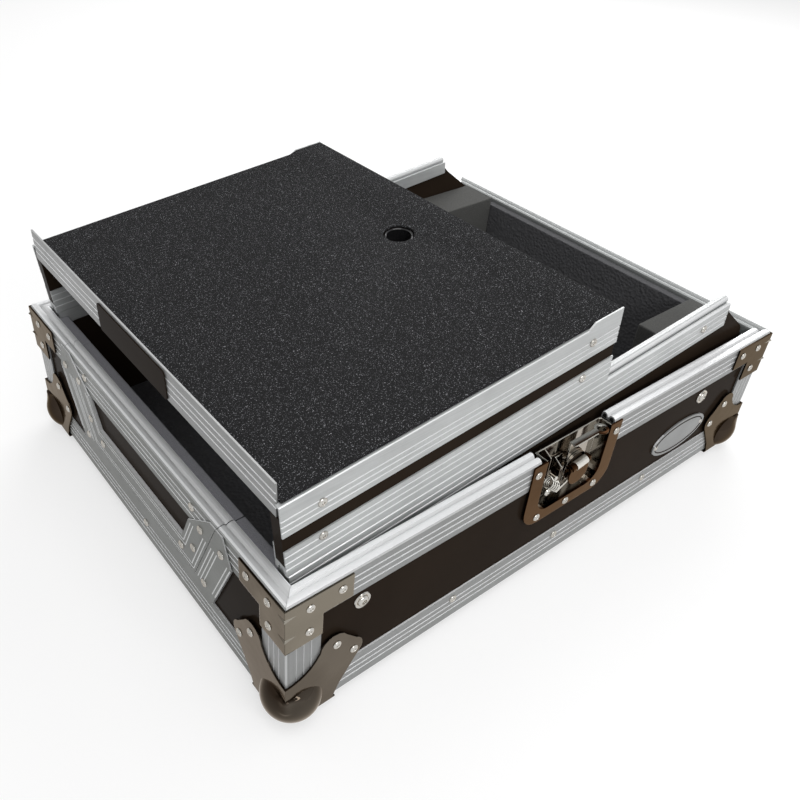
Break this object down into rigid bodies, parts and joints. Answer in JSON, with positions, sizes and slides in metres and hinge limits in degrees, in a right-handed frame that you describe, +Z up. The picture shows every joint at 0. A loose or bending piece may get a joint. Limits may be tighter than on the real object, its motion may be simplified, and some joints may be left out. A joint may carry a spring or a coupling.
{
  "type": "dj mixer flight case",
  "caption": "Open-topped flight case tray with aluminium edges, ball corners, twist latches, a lift-out front door and a sloping laptop shelf that slides on rails over the mixer bay.",
  "frame": {"origin": "Centre of the case's length and width, on the ground plane that the ball corners stand on.", "axes": "+X to the rear of the case, -X to the front where the lift-out door is, +Y to its left side, +Z up. The length of the tray runs along X."},
  "size_m": [0.5164, 0.3984, 0.2147],
  "materials": {
    "anodised_aluminium": "satin",
    "nickel_steel": "polished",
    "laminated_plywood": "black gloss laminate",
    "black_rubber": "matt",
    "grey_foam": "matt foam",
    "dark_foam": "matt foam"
  },
  "bodies": {
    "tray": {"base_panel": "laminated_plywood", "right_panel": "laminated_plywood", "left_panel": "laminated_plywood", "front_panel": "laminated_plywood", "rear_panel": "laminated_plywood", "rim_right_front": "anodised_aluminium", "rim_right_rear": "anodised_aluminium", "rim_left_front": "anodised_aluminium", "rim_left_rear": "anodised_aluminium", "rim_rear": "anodised_aluminium", "rim_front_right": "anodised_aluminium", "rim_front_left": "anodised_aluminium", "bottom_angle_right": "anodised_aluminium", "bottom_angle_left": "anodised_aluminium", "bottom_angle_front": "anodised_aluminium", "bottom_angle_rear": "anodised_aluminium", "corner_angle_front_right": "anodised_aluminium", "corner_angle_rear_right": "anodised_aluminium", "corner_angle_rear_left": "anodised_aluminium", "corner_angle_front_left": "anodised_aluminium", "corner_brace_front_right": "nickel_steel", "corner_brace_rear_right": "nickel_steel", "corner_brace_rear_left": "nickel_steel", "corner_brace_front_left": "nickel_steel", "ball_corner_front_right": "nickel_steel", "ball_corner_rear_right": "nickel_steel", "ball_corner_rear_left": "nickel_steel", "ball_corner_front_left": "nickel_steel", "front_opening_frame": "anodised_aluminium", "tray_foam": "dark_foam", "foam_block_right": "grey_foam", "foam_block_left": "grey_foam", "rail_board_right": "laminated_plywood", "rail_board_left": "laminated_plywood", "fixed_rail_right": "anodised_aluminium", "fixed_rail_left": "anodised_aluminium", "latch_dish_right": "nickel_steel", "latch_dish_left": "nickel_steel", "oval_badge": "anodised_aluminium"},
    "laptop_shelf": {"shelf_board": "laminated_plywood", "shelf_pad": "dark_foam", "shelf_wall_right": "laminated_plywood", "shelf_wall_left": "laminated_plywood", "slider_right": "anodised_aluminium", "slider_left": "anodised_aluminium", "shelf_angle_right": "anodised_aluminium", "shelf_angle_left": "anodised_aluminium", "shelf_lip": "anodised_aluminium", "name_plate": "laminated_plywood", "cable_grommet": "black_rubber"},
    "front_door": {"door_panel": "laminated_plywood", "door_frame": "anodised_aluminium", "door_rim": "anodised_aluminium", "door_foam": "grey_foam"},
    "right_latch_hook": {"latch_hook_right": "nickel_steel"},
    "right_latch_rotor": {"latch_rotor_right": "nickel_steel"},
    "right_latch_flap": {"latch_flap_right": "nickel_steel"},
    "left_latch_hook": {"latch_hook_left": "nickel_steel"},
    "left_latch_rotor": {"latch_rotor_left": "nickel_steel"},
    "left_latch_flap": {"latch_flap_left": "nickel_steel"}
  },
  "joints": [
    {"name": "shelf_slide", "type": "slide", "parent": "tray", "child": "laptop_shelf", "axis": [0.9962, 0, 0.0872], "range_m": [0, 0.15]},
    {"name": "door_lift", "type": "slide", "parent": "tray", "child": "front_door", "axis": [0, 0, 1], "range_m": [0, 0.048]},
    {"name": "right_latch_turn", "type": "hinge", "parent": "tray", "child": "right_latch_rotor", "pos_m": [0.005, -0.191, 0.0982], "axis": [0, 1, 0], "range_deg": [0, 180]},
    {"name": "right_latch_flap_hinge", "type": "hinge", "parent": "right_latch_rotor", "child": "right_latch_flap", "pos_m": [0.00422, -0.1929, 0.10314], "axis": [-0.9877, 0, -0.1564], "range_deg": [0, 100]},
    {"name": "right_latch_hook_slide", "type": "slide", "parent": "tray", "child": "right_latch_hook", "axis": [0, 0, 1], "range_m": [0, 0.006]},
    {"name": "left_latch_turn", "type": "hinge", "parent": "tray", "child": "left_latch_rotor", "pos_m": [-0.005, 0.191, 0.0982], "axis": [0, -1, 0], "range_deg": [0, 180]},
    {"name": "left_latch_flap_hinge", "type": "hinge", "parent": "left_latch_rotor", "child": "left_latch_flap", "pos_m": [-0.00422, 0.1929, 0.10314], "axis": [0.9877, 0, -0.1564], "range_deg": [0, 100]},
    {"name": "left_latch_hook_slide", "type": "slide", "parent": "tray", "child": "left_latch_hook", "axis": [0, 0, 1], "range_m": [0, 0.006]}
  ],
  "couplings": [
    {"joint": "right_latch_hook_slide", "follows": "right_latch_turn", "m_per_rad": 0.0019098},
    {"joint": "left_latch_hook_slide", "follows": "left_latch_turn", "m_per_rad": 0.0019098}
  ]
}
